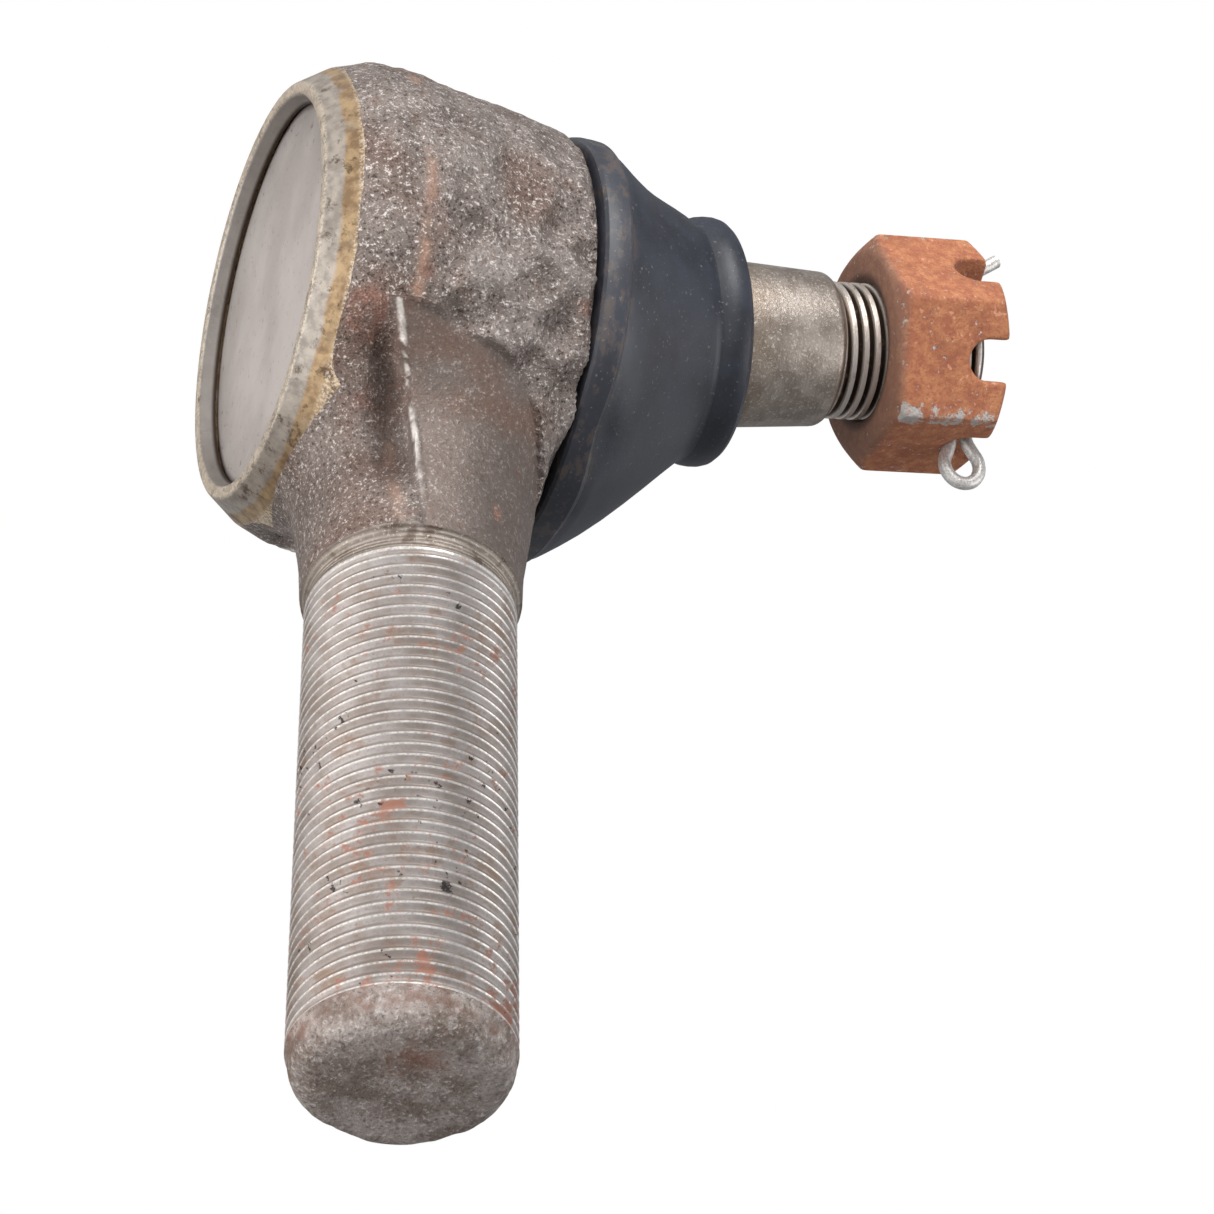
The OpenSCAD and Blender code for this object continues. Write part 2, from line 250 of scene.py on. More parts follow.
def press_to_shape(points, rounds=4):
    """Moves points near the neck's root onto the smooth fillet between the socket and the neck."""
    near = (points[:, 0] > 8 * mm) & (points[:, 2] > 0) & (points[:, 2] < socket_top - 0.8 * mm)
    moving = points[near]
    held = 1 - step_up(moving[:, 2], socket_top - 4 * mm, socket_top - 1 * mm)
    tiny = 0.01 * mm
    for _ in range(rounds):
        depth = forged_depth(moving)
        slope = [(forged_depth(moving + tiny * axis) - depth) / tiny for axis in np.eye(3)]
        slope = np.stack(slope, axis=1)
        steep = np.maximum((slope**2).sum(1), 0.2)
        moving = moving - (held * depth / steep)[:, None] * slope
    points[near] = moving
    return points


# the pale flash line left where the dies met, beside the neck, and the step round the smooth neck
flash_line = [(18.8, 19.9, 8.6), (21.5, 16.9, 10), (23.7, 13.6, 11.6), (29.7, 12.3, 12.3),
              (34.8, 11.7, 12.7), (40, 11.1, 13.2)]
step_line = [(17.5, 2), (18, 8), (18.3, 12), (19.3, 17), (19.8, 21), (21, 24), (23.8, 26.6), (29, 29)]


def marks_of(points):
    """Where the forging's marks lie: hammered skin, smooth neck, flash line, hollow and step."""
    beside = np.abs(points[:, 1])
    folded = np.stack([points[:, 0], beside, points[:, 2]], axis=1)
    line = [tuple(x * mm for x in point) for point in flash_line]
    flash = bump_at(distance_to_line(folded, line), 0.42 * mm)
    step_x = np.interp(points[:, 2], [z * mm for _, z in step_line], [x * mm for x, _ in step_line])
    past_step = points[:, 0] - step_x
    flash_z = np.interp(points[:, 0], [p[0] * mm for p in flash_line], [p[2] * mm for p in flash_line])
    below = flash_z - points[:, 2]
    on_neck = step_up(past_step, -0.1 * mm, 0.75 * mm) * (1 - 0.8 * step_up(below, 0, 1 * mm))
    inside_x = step_up(points[:, 0], 18.5 * mm, 23 * mm) * (1 - step_up(points[:, 0], 31 * mm, 40 * mm))
    hollow = inside_x * bump_at(below - 2.2 * mm, 2.4 * mm) * step_up(below, 0, 0.7 * mm)
    hollow = hollow * step_up(beside, 2 * mm, 6 * mm)
    warp = points + 1.3 * mm * np.stack([fractal(points + k, 6 * mm, 2) for k in (0, 0.1, 0.2)], axis=1)
    around = np.degrees(np.arctan2(points[:, 1], points[:, 0]))
    facing = np.clip(bump_at(around + 62, 46) + bump_at(around - 95, 50) * 0.6, 0, 1)
    worked = (1 - on_neck) * facing * step_up(points[:, 2], 11 * mm, 15 * mm)
    ridge = (scallops(warp, 5.6 * mm) - 0.5) * worked
    seam = bump_at(points[:, 2] - 10.6 * mm - fractal(points + 0.5, 9 * mm, 2) * 0.3 * mm, 0.6 * mm)
    return {"flash": flash, "neck": on_neck, "hollow": hollow, "ridge": ridge, "seam": seam * (1 - on_neck),
            "past_step": past_step, "below": below}


def hammer(piece):
    """Gives the forging its skin: hammer marks, grit, seam, flash line, hollow and step."""
    points = points_of(piece)
    normals = np.empty(len(points) * 3)
    piece.data.vertices.foreach_get("normal", normals)
    normals = normals.reshape(-1, 3)
    marks = marks_of(points)
    rough = 1 - marks["neck"]
    lift = marks["ridge"] * 3.2 * mm
    lift += fractal(points, 9 * mm, 3) * (0.22 * rough + 0.07) * mm
    lift += fractal(points + 0.3, 1.7 * mm, 3) * (0.085 * rough + 0.02) * mm
    lift *= 0.2 + 0.8 * step_up(points[:, 2], 3.5 * mm, 9 * mm)
    lift += 0.16 * mm * marks["seam"]
    lift += marks["flash"] * (0.34 + 0.16 * fractal(points + 0.7, 1.6 * mm, 2)) * mm
    lift -= 2.0 * mm * marks["hollow"]
    beside = step_up(np.abs(points[:, 1]), 3 * mm, 6 * mm) * step_up(points[:, 2], 9.5 * mm, 12 * mm)
    past = marks["past_step"]
    lift += 0.5 * mm * np.where(past < 0, np.exp(past / (2.2 * mm)), 1 - marks["neck"]) * rough * beside
    lift[points[:, 2] > socket_top - 0.2 * mm] = 0
    lift = np.clip(lift, -2.4 * mm, 0.75 * mm)
    move_points(piece, points + lift[:, None] * normals)


housing = turned("forging_head", socket_line, 128)
neck_blank = turned("neck_blank", neck_line, 96)
neck_blank.data.transform(along(shank_way))
only(housing, neck_blank)
bpy.ops.object.join()
finish_with(housing, "REMESH", mode="VOXEL", voxel_size=forging_grain)
finish_with(housing, "TRIANGULATE")
finish_with(housing, "SMOOTH", factor=0.5, iterations=4)
move_points(housing, press_to_shape(points_of(housing)))
hammer(housing)


class Value:
    """A number on its way through a finish: a sum written on it adds its Math nodes."""

    def __init__(self, finish, socket):
        self.finish = finish
        self.socket = socket

    def maths(self, operation, *others):
        inputs = dict(enumerate((self, *others)))
        return self.finish.node("ShaderNodeMath", {"operation": operation}, inputs)

    def __add__(self, other):
        return self.maths("ADD", other)

    def __mul__(self, other):
        return self.maths("MULTIPLY", other)

    def __sub__(self, other):
        return self.maths("SUBTRACT", other)

    def __rsub__(self, other):
        return (self * -1) + other

    def __truediv__(self, other):
        return self.maths("DIVIDE", other)

    def __pow__(self, other):
        return self.maths("POWER", other)

    __radd__ = __add__
    __rmul__ = __mul__

    def between(self, low, high):
        """0 at low, 1 at high, smooth between, and held at 0 and 1 outside."""
        return self.finish.node("ShaderNodeMapRange", {"interpolation_type": "SMOOTHSTEP"},
                                {"Value": self, "From Min": low, "From Max": high})


def paint(code):
    """A colour written as six hex digits, as the renderer wants it."""
    shares = [int(code[i:i + 2], 16) / 255 for i in (0, 2, 4)]
    return (*(x / 12.92 if x < 0.04045 else ((x + 0.055) / 1.055) ** 2.4 for x in shares), 1)


class Finish:
    """One finish: a material whose nodes are all added through node()."""

    def __init__(self, name, metallic=0.0, roughness=0.5):
        self.material = bpy.data.materials.new(name)
        self.material.use_nodes = True
        self.shader = self.material.node_tree.nodes["Principled BSDF"]
        self.set("Metallic", metallic)
        self.set("Roughness", roughness)
        self.place = self.node("ShaderNodeTexCoord", output="Object")

    def plug(self, socket, value):
        """Puts a value on a socket, or joins it to one: six hex digits are a colour."""
        if isinstance(value, str):
            value = paint(value)
        if isinstance(value, Value):
            self.material.node_tree.links.new(value.socket, socket)
        else:
            socket.default_value = value

    def node(self, kind, settings=None, inputs=None, output=0):
        """Adds one node: its settings first, then what its sockets hold."""
        made = self.material.node_tree.nodes.new(kind)
        for key, value in (settings or {}).items():
            setattr(made, key, value)
        for key, value in (inputs or {}).items():
            self.plug(made.inputs[key], value)
        return Value(self, made.outputs[output])

    def set(self, socket, value):
        """Gives one of the shader's own sockets its value."""
        self.plug(self.shader.inputs[socket], value)

    def grain(self, size, detail=3, rough=0.55, where=None, stretch=None):
        """Soft noise from 0 to 1, with features about this many millimetres across."""
        where = where or self.place
        if stretch:
            where = self.node("ShaderNodeMapping", {}, {"Vector": where, "Scale": stretch})
        inputs = {"Vector": where, "Scale": 1 / (size * mm), "Detail": detail, "Roughness": rough}
        return self.node("ShaderNodeTexNoise", {}, inputs)

    def mix(self, share, first, second):
        """The first colour where share is 0, the second where it is 1."""
        inputs = {0: share, 6: first, 7: second}
        return self.node("ShaderNodeMix", {"data_type": "RGBA"}, inputs, 2)

    def coat(self, share, colour):
        """Lays a colour over the finish's own, fully where share is 1."""
        self.colour = self.mix(share, self.colour, colour)

    def mark(self, name):
        """One of the piece's own marks, kept on its points."""
        return self.node("ShaderNodeAttribute", {"attribute_name": name}, {}, "Fac")

    def seen_along(self, way):
        """Coordinates with Z up an axis through the ball's centre."""
        turn = up.rotation_difference(way).to_euler()
        return self.node("ShaderNodeMapping", {"vector_type": "TEXTURE"},
                         {"Vector": self.place, "Location": ball, "Rotation": turn})

    def parts(self, where):
        """The three coordinates of a place, in millimetres."""
        return [self.node("ShaderNodeSeparateXYZ", {}, {"Vector": where}, i) / mm for i in range(3)]

    def off_axis(self, x, y):
        """Distance from the axis."""
        return (x * x + y * y) ** 0.5

    def raise_skin(self, height, depth):
        """Lifts the skin by height times this many millimetres."""
        self.set("Normal", self.node("ShaderNodeBump", {}, {"Height": height, "Distance": depth * mm}))


def forged_skin():
    """Grey-brown forging scale with bright grit, brown-red stains and a smoother neck, with painted highlights on
    the hammer marks' ridges and painted shade in their middles and in the hollow.
    """
    skin = Finish("forged_skin", metallic=0.72)
    neck, hollow, flash, stain = [skin.mark(name) for name in ("neck", "hollow", "flash", "stain")]
    ridge, seam = skin.mark("ridge"), skin.mark("seam")
    grit = skin.grain(0.55, 4, 0.65)
    fine = skin.grain(0.23, 2, 0.5)
    cloud = skin.grain(6, 4, 0.6)
    drift = skin.grain(14, 3, 0.5)
    rough = 1 - neck
    skin.colour = skin.mix(cloud.between(0.3, 0.7), "6e635d", "8f847e")
    skin.coat(neck * 0.8, "695e58")
    skin.coat(drift.between(0.52, 0.66) * 0.55, "6f5548")
    sparkle = (grit * 0.6 + fine * 0.4).between(0.53, 0.64)
    skin.coat(sparkle * (0.62 * rough + 0.22), "e4ddd9")
    pits = (grit * 0.6 + fine * 0.4).between(0.47, 0.38)
    skin.coat(pits * (0.6 * rough + 0.3), "3d3430")
    # painted highlight on the ridges between hammer marks, then painted shade in their sunken middles
    skin.coat(ridge.between(0.02, 0.3) * 0.16, "cfc7c2")
    skin.coat(ridge.between(-0.1, -0.42) * 0.4, "574c47")
    skin.coat(seam * skin.grain(5, 3).between(0.4, 0.6) * 0.6, "ad8873")
    # painted shade: the hollow below the flash line is darkened
    skin.coat(hollow * 0.72, "3a2c27")
    spots = skin.grain(3.2, 4, 0.65).between(0.62, 0.74)
    skin.coat(spots * 0.5, "7b5545")
    rust = (stain * 0.75 + (skin.grain(2.2, 5, 0.75) - 0.5) * 2.2).between(0.35, 1.0) * stain
    skin.coat(rust * 0.75, skin.mix(fine.between(0.35, 0.65), "5d4038", "8f604c"))
    skin.coat(flash.between(0.25, 0.8) * 0.8, "d2cdc7")
    skin.set("Base Color", skin.colour)
    skin.set("Metallic", 0.72 - rust * 0.5)
    skin.set("Roughness", 0.56 - sparkle * 0.2 * rough + hollow * 0.15 + rust * 0.2)
    skin.raise_skin(grit * (0.75 * rough + 0.28) + fine * (0.3 * rough + 0.15), 0.36)
    return skin.material


def turned_rim():
    """The turned rim and bevel: steel heated and tarnished straw-gold, with dark streaks round it."""
    rim = Finish("turned_rim", metallic=0.7)
    x, y, z = rim.parts(rim.place)
    radius = rim.off_axis(x, y)
    streak = rim.grain(1.6, 4, 0.6)
    blot = rim.grain(4.5, 4, 0.65)
    fine = rim.grain(0.3, 3, 0.6)
    rim.colour = rim.mix(streak.between(0.35, 0.65), "8b847d", "aba39a")
    gold = (z.between(1.3, 2.2) * 0.75 + (blot - 0.5) * 1.6).between(0.2, 0.7)
    rim.coat(gold * 0.85, rim.mix(streak.between(0.35, 0.65), "7f6445", "ab9069"))
    rim.coat(rim.grain(2.6, 5, 0.75).between(0.55, 0.66) * 0.8, "4f3c2e")
    rim.coat(z.between(0.35, 0.1) * fine.between(0.4, 0.6) * 0.6, "cfc6b8")
    inner = radius.between(22.15, 21.85)
    rim.coat(inner * 0.8, "8b8784")
    # painted shadow: the lip's inner face turns dark brown towards the cap
    rim.coat(z.between(1.25, 1.75) * inner, "33261d")
    edge = z.between(2.9, 3.4) * fine.between(0.45, 0.6)
    rim.coat(edge * 0.6, "d8cfc2")
    rim.set("Base Color", rim.colour)
    rim.set("Roughness", 0.3 + blot * 0.22)
    rim.raise_skin(fine * 0.4 + streak * 0.3, 0.08)
    return rim.material


def plain_steel(name, light, dark, roughness, grain_size=0.5):
    """Plain machined steel, clouded a little and finely grained."""
    steel = Finish(name, metallic=0.9)
    fine = steel.grain(grain_size, 4, 0.6)
    steel.set("Base Color", steel.mix(steel.grain(grain_size * 9, 3).between(0.35, 0.65), light, dark))
    steel.set("Roughness", fine * 0.16 + (roughness - 0.08))
    steel.raise_skin(fine, 0.03)
    return steel.material


def turned_neck():
    """The turned band where the neck runs out into the thread: brown-tarnished tool marks."""
    band = Finish("turned_neck", metallic=0.8)
    across = band.parts(band.seen_along(shank_way))[2]
    marks = band.node("ShaderNodeMath", {"operation": "SINE"}, {0: across * 14}) * 0.5 + 0.5
    fine = band.grain(0.35, 4, 0.65)
    band.colour = band.mix(marks * 0.5 + fine * 0.5, "6c625a", "ada399")
    band.coat(band.grain(2.4, 4).between(0.52, 0.66) * 0.7, "55453a")
    band.coat(fine.between(0.6, 0.68) * 0.6, "ded6cc")
    band.set("Base Color", band.colour)
    band.set("Roughness", 0.46)
    band.raise_skin(marks * 0.5 + fine * 0.7, 0.12)
    return band.material


def threaded_steel():
    """The shank's cut thread: crests lightened as painted highlights, grey flanks, roots darkened as painted
    shade, nicks and flecks of rust.
    """
    steel = Finish("threaded_steel", metallic=0.62)
    x, y, _ = steel.parts(steel.seen_along(shank_way))
    crest = steel.off_axis(x, y).between(shank_r / mm - 0.14, shank_r / mm - 0.03)
    root = steel.off_axis(x, y).between(shank_r / mm - 0.42, shank_r / mm - 0.52)
    fine = steel.grain(0.3, 4, 0.65)
    blot = steel.grain(5, 4, 0.6)
    steel.colour = steel.mix(blot.between(0.35, 0.7), "9d9794", "80766f")
    steel.coat(fine.between(0.5, 0.66) * 0.45, "7b716b")
    # painted shade: darker in the thread's roots
    steel.coat(root * 0.6, "6b615b")
    tan = steel.grain(3.6, 5, 0.7).between(0.52, 0.66)
    steel.coat(tan * 0.62, "7b6350")
    # painted highlight along the thread's crests, broken by noise
    steel.coat(crest * (0.55 + (fine - 0.5) * 1.6).between(0, 1), "ece8e4")
    rust = (steel.grain(2.2, 5, 0.75) + (steel.grain(12, 2) - 0.5) * 0.5).between(0.56, 0.65)
    steel.coat(rust * 0.75, "8d5a45")
    nick = (steel.grain(1.3, 4, 0.7) + (steel.grain(8, 2) - 0.5) * 0.6).between(0.68, 0.72)
    steel.coat(nick * 0.9, "262120")
    steel.set("Base Color", steel.colour)
    steel.set("Metallic", 0.62 - rust * 0.5)
    steel.set("Roughness", 0.48 - crest * 0.2 + rust * 0.3)
    steel.raise_skin(fine * 0.6 - nick * 2, 0.05)
    return steel.material


def sawn_end():
    """The shank's rough rounded end: dark scale, a rust patch, and scratches on its shoulder."""
    end = Finish("sawn_end", metallic=0.45)
    x, y, _ = end.parts(end.seen_along(shank_way))
    blot = end.grain(4.2, 5, 0.65)
    fine = end.grain(0.45, 4, 0.65)
    end.colour = end.mix(blot.between(0.38, 0.62), "75675e", "9c918b")
    end.coat(fine.between(0.54, 0.68) * 0.55, "d6cfcb")
    end.coat(fine.between(0.46, 0.34) * 0.6, "443a36")
    spot = bump_near(end, x - 0.5, y + 5.5, 4.6)
    patch = (spot * 0.8 + (end.grain(3.2, 5, 0.7) - 0.5) * 2.2).between(0.3, 1.0)
    end.coat(patch * 0.7, end.mix(fine, "6b4a3b", "8a5c46"))
    shoulder = end.off_axis(x, y).between(7.0, 9.4)
    scrape = (shoulder * 0.5 + (end.grain(1.5, 5, 0.75) - 0.5) * 2.4).between(0.45, 1.1)
    end.coat(scrape * 0.6, "ded8d4")
    border = end.off_axis(x, y).between(9.6, 10.8)
    edge = (border * 0.6 + (end.grain(1.8, 5, 0.75) - 0.5) * 2.4).between(0.5, 0.9)
    end.coat(edge * 0.7, "6f4c3c")
    end.set("Base Color", end.colour)
    end.set("Roughness", 0.55 - scrape * 0.15)
    end.raise_skin(fine + blot * 0.5, 0.3)
    return end.material


def bump_near(finish, dx, dy, width):
    """1 where both distances are 0, falling to 0 at 1.8 times this width."""
    return 1 - finish.off_axis(dx, dy).between(0, width * 1.8)


def threaded(name, radius, pitch, depth, start, end, segments, fade, root=0.1, crest=0.06):
    """A right-hand thread on +Z: a fine sheet rolled round the axis, its rows following the helix.
    The root and the crest are flat for these shares of the pitch."""
    per_turn = 10
    rows = math.ceil(((end - start) / pitch + 1) * per_turn)
    only()
    bpy.ops.mesh.primitive_grid_add(x_subdivisions=segments, y_subdivisions=rows, size=1)
    sheet = bpy.context.object
    sheet.name = name
    flat = points_of(sheet) + 0.5
    row = np.rint(flat[:, 1] * rows)
    height = np.clip(start + (row / per_turn - 1 + flat[:, 0]) * pitch, start, end)
    height = np.where(end - height < 0.02 * mm, end, np.where(height - start < 0.02 * mm, start, height))
    phase = np.mod(row / per_turn, 1)
    ridge = np.clip((np.abs(2 * phase - 1) - root) / (1 - root - crest), 0, 1)
    kept = step_up(height, start, start + fade[0]) * (1 - step_up(height, end - fade[1], end))
    drawn = radius - depth * (1 - ridge) * kept
    turn = 2 * math.pi * flat[:, 0]
    move_points(sheet, np.stack([drawn * np.cos(turn), drawn * np.sin(turn), height], axis=1))
    close_up(sheet, 0.004 * mm)
    return sheet


def carry_on(piece, profile, material_slot=0):
    """Draws the piece's open end at the profile's first height on through the rest, and closes it."""
    heights = points_of(piece)[:, 2]
    only(piece)
    bpy.ops.object.mode_set(mode="EDIT")
    bpy.ops.mesh.select_mode(type="VERT")
    bpy.ops.mesh.select_all(action="DESELECT")
    bpy.ops.object.mode_set(mode="OBJECT")
    piece.data.vertices.foreach_set("select", np.abs(heights - profile[0][1]) < 0.001 * mm)
    faces_before = len(piece.data.polygons)
    bpy.ops.object.mode_set(mode="EDIT")
    draw_out(profile, bpy.ops.mesh.extrude_edges_move)
    bpy.ops.mesh.edge_face_add()
    bpy.ops.object.mode_set(mode="OBJECT")
    close_up(piece)
    for face in piece.data.polygons[faces_before:]:
        face.material_index = material_slot


# the shank: thread, rounded end and the stub that stands inside the neck
shank_segments = 144
thread_deep = 0.52 * mm
shank = threaded("threaded_shank", shank_r, shank_pitch, thread_deep, thread_start, thread_end,
                 shank_segments, (1.2 * mm, 1.0 * mm))
for material in (threaded_steel(), sawn_end(), turned_neck()):
    shank.data.materials.append(material)
dome = [(shank_r, thread_end), (shank_r - 0.28 * mm, thread_end + 0.35 * mm)]
dome += rounded(shank_r - 3.4 * mm, shank_end - 3.3 * mm, 3.15 * mm, 5, 85, 12)
end_dips = ((6.6, 0.06), (5.2, 0), (3.9, 0.04), (2.6, 0), (1.3, 0.03), (0.5, 0))
dome += [(radius * mm, shank_end - dip * mm) for radius, dip in end_dips]
carry_on(shank, dome, 1)
stub_start = thread_start - 0.9 * mm
carry_on(shank, [(shank_r, thread_start), (shank_r - 0.22 * mm, thread_start - 0.25 * mm),
                 (shank_r - 0.22 * mm, stub_start)], 2)
end_points = points_of(shank)
on_end = end_points[:, 2] > thread_end + 0.3 * mm
worn = fractal(end_points[on_end], 5 * mm, 3) * 0.3 * mm
outward = end_points[on_end] - np.array([0, 0, shank_end - 9 * mm])
outward /= np.linalg.norm(outward, axis=1)[:, None]
end_points[on_end] += outward * np.minimum(worn, 0.05 * mm)[:, None]
move_points(shank, end_points)
shank.data.transform(along(shank_way))

# turning tools: the neck's run-out, the rim's bevel, and the stepped bore from the mouth to the opening
housing.data.materials.append(forged_skin())
neck_turned_r = shank_r - 0.25 * mm
sleeve_back = thread_start + 3 * mm
runout_start = thread_start - 5.2 * mm
sleeve_line = [(neck_turned_r, sleeve_back), (neck_turned_r, thread_start - 1.7 * mm),
               (neck_turned_r + 0.5 * mm, thread_start - 2.4 * mm),
               (neck_turned_r + 4 * mm, runout_start), (2 * belt_r, runout_start),
               (2 * belt_r, sleeve_back)]
sleeve = turned("neck_tool", sleeve_line, 144, ring=True)
sleeve.data.transform(along(shank_way))
sleeve.data.materials.append(shank.data.materials[2])
machine(housing, sleeve)
bevel_slope = (bevel_r - rim_flat_r) / bevel_high
bevel_over = 1.0 * mm
bevel_in_r = rim_flat_r - 0.35 * mm
bevel_out_r = bevel_r + bevel_over
tool_low = -3 * mm
bevel_line = [(bevel_in_r, tool_low), (bevel_in_r, 0)]
bevel_line += rounded(bevel_in_r, 0.5 * mm, 0.5 * mm, -80, -34, 5)
bevel_line += [(bevel_r, bevel_high), (bevel_out_r, bevel_high + bevel_over / bevel_slope),
               (bevel_out_r, tool_low)]
bevel = turned("bevel_tool", bevel_line, 192, ring=True)
rim_finish = turned_rim()
bevel.data.materials.append(rim_finish)
machine(housing, bevel)
seal_r = bore_r + 1.5 * mm
opening_r = 12.6 * mm
mouth_r = rim_flat_r + 2 * mm
lip_round_r = rim_lip_r + 0.75 * mm
opening_flare_r = opening_r + 0.9 * mm
bore_line = [(mouth_r, tool_low), (mouth_r, 0), (lip_round_r, 0)]
bore_line += rounded(lip_round_r, 0.5 * mm, 0.5 * mm, 262, 190, 6)
bore_line += [(rim_lip_r + 0.05 * mm, 1.1 * mm), (rim_lip_r - 0.15 * mm, cap_low.z),
              (cap_r, cap_low.z), (cap_r, cap_high.z)]
bore_line += rounded(seal_r, cap_high.z, 0.6 * mm, 0, 180, 9)
bore_line += [(bore_r, cap_high.z), (bore_r, seat_top), (opening_r, seat_top),
              (opening_r, socket_top - 0.8 * mm), (opening_flare_r, socket_top + 0.1 * mm),
              (opening_flare_r, socket_top + 3 * mm)]
bore = turned("bore_tool", bore_line, 192)
bore.data.materials.append(rim_finish)
machine(housing, bore)


def keep_marks(piece, marks):
    """Keeps the marks on the piece's points, where its finish can read them."""
    for name, values in marks.items():
        layer = piece.data.attributes.new(name, "FLOAT", "POINT")
        layer.data.foreach_set("value", values.astype(np.float32))


skin_points = points_of(housing)
skin_marks = marks_of(skin_points)
stains = [(20.9, -16.6, 5.7, 3.2), (25.2, -10.6, 7, 2.6), (18.8, -19, 5.6, 2.6), (9, -25.8, 10.4, 1.8),
          (15.9, -22.3, 11.2, 1.7), (-0.2, -25, 26.8, 2.2), (13.7, -19.8, 30.5, 2.6),
          (37.7, -10.4, 21.5, 1.6)]
stain = np.zeros(len(skin_points))
for x, y, z, width in stains:
    stain += bump_at(np.linalg.norm(skin_points - np.array([x, y, z]) * mm, axis=1), width * mm)
skin_marks["stain"] = np.clip(stain, 0, 1)
keep_marks(housing, skin_marks)
smooth_soft_edges(housing, 38)
smooth_soft_edges(shank, 60)
for piece in (housing, shank):
    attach(piece, "housing")
    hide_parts("forged_housing")

# ---- end cap -------------------------------------------------------------------------
# The plate that closes the socket: sheet steel, pressed so that its face is slightly crowned
# and its edge is rounded. It stands on the seal, and the housing's rim is rolled over its edge.
cap_side_r = cap_r - 0.05 * mm
cap_back = cap_high.z - 0.05 * mm
cap_front = [(1 * mm, 0), (9 * mm, 0.02), (15 * mm, 0.06), (19 * mm, 0.14), (cap_r - 1.2 * mm, 0.24),
             (cap_r - 0.4 * mm, 0.45), (cap_side_r, 0.9)]
cap = turned("end_plate", [(radius, cap_low.z + rise * mm) for radius, rise in cap_front]
             + [(cap_side_r, cap_high.z - 0.5 * mm), (cap_r - 0.5 * mm, cap_back), (9 * mm, cap_back),
                (1 * mm, cap_back)], 128)


def cap_steel():
    """Rolled steel sheet: satin warm grey, hairline scratches, a few specks of rust near the edge."""
    steel = Finish("cap_steel", metallic=0.55)
    x, y, _ = steel.parts(steel.place)
    fine = steel.grain(0.4, 4, 0.6)
    hair = steel.grain(0.35, 3, 0.6, stretch=(1, 0.05, 1)).between(0.62, 0.72)
    hair_across = steel.grain(0.4, 3, 0.6, stretch=(0.06, 0.8, 1)).between(0.66, 0.74)
    steel.colour = steel.mix(steel.grain(9, 3).between(0.35, 0.65), "a09a97", "aea9a6")
    steel.coat(fine.between(0.5, 0.66) * 0.3, "b5aea9")
    steel.coat((hair + hair_across) * 0.35, "bcb6b1")
    rim_side = steel.off_axis(x, y).between(16, 21.5)
    speck = steel.grain(0.9, 4, 0.65).between(0.61, 0.66) * (rim_side * 0.6 + 0.4)
    steel.coat(speck * 0.85, "5b3727")
    # painted shadow: a dark ring round the plate's edge, under the rolled rim
    steel.coat(steel.off_axis(x, y).between(20.6, 21.4) * 0.65, "3c2d24")
    steel.set("Base Color", steel.colour)
    steel.set("Roughness", fine * 0.12 + 0.36)
    steel.raise_skin(fine * 0.6 + hair * 0.4, 0.03)
    return steel.material


cap.data.materials.append(cap_steel())
smooth_soft_edges(cap, 35)
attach(cap, "housing")
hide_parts("end_cap")

# ---- parts inside the socket and the boot's rings ------------------------------------
# Rubber seal, dished spring washer, moulded plastic lower seat, sintered upper seat, ground
# half-ball bearing, and the two plain steel rings that hold the boot. All are hidden.


def plain_rubber(name, colour, roughness):
    """Plain moulded rubber or plastic with a faint mottle."""
    soft = Finish(name, roughness=roughness)
    light, dark = paint(colour), tuple(x * 0.7 for x in paint(colour)[:3]) + (1,)
    soft.set("Base Color", soft.mix(soft.grain(1.5, 3), light, dark))
    return soft.material


inner_finishes = {"cap_seal": plain_rubber("seal_rubber", "1c1c1e", 0.7),
                  "preload_washer": plain_steel("spring_steel", "3d4350", "2b3038", 0.35),
                  "lower_seat": plain_rubber("seat_plastic", "e4dcc4", 0.45),
                  "upper_seat": plain_steel("sintered_steel", "8f8b84", "77726b", 0.5),
                  "half_ball_bearing": plain_steel("ground_steel", "a9abb0", "96989c", 0.22),
                  "boot_base_ring": plain_steel("base_ring_steel", "8e8f92", "7c7d80", 0.35),
                  "boot_lip_ring": plain_steel("lip_ring_steel", "8e8f92", "7c7d80", 0.35)}
for node, finish in inner_finishes.items():
    frame["nodes"][node].data.materials.clear()
    frame["nodes"][node].data.materials.append(finish)

# ---- ball stud -----------------------------------------------------------------------
# One forging, turned and ground: ball head, neck, tapered seat, and a rolled 5/8-18 thread
# drilled across for the cotter pin. Bright where it was ground, tarnished towards the boot.
nut_face = (Vector(mounts["nut_seat"]["pos_m"]) - ball).dot(stud_way)
taper_start = (Vector(mounts["stud_taper"]["pos_m"]) - ball).dot(stud_way)
ball_r = 14 * mm
neck_r = 7 * mm
taper_r = 9.8 * mm
taper_end = taper_start + 13.5 * mm
taper_end_r = taper_r - (taper_end - taper_start) / 16
stud_r = 7.94 * mm
stud_end = nut_face + 12.7 * mm
nose_end = taper_end + 1.6 * mm
nut_turn = math.radians(16)
cotter_at = stud_end - 1.9 * mm
taper_round = 1.1 * mm
root_r = 6.2 * mm
root_top = nose_end + 1.2 * mm
thread_foot = nose_end - 0.5 * mm
thread_top = stud_end - 0.8 * mm
stud_line = [(1 * mm, -9.8 * mm), (9.6 * mm, -9.8 * mm)] + rounded(0, 0, ball_r, -43, 59.8, 30)
stud_line += [(neck_r, 14 * mm), (neck_r, 25 * mm), (neck_r + 0.6 * mm, 27.5 * mm),
              (taper_r - 0.5 * mm, 30.2 * mm), (taper_r, 31.4 * mm), (taper_r, taper_start),
              (taper_end_r, taper_end)]
stud_line += rounded(taper_end_r - taper_round, taper_end, taper_round, 18, 72, 6)
stud_line += [(stud_r - 0.6 * mm, nose_end), (root_r, nose_end), (root_r, root_top), (1 * mm, root_top)]
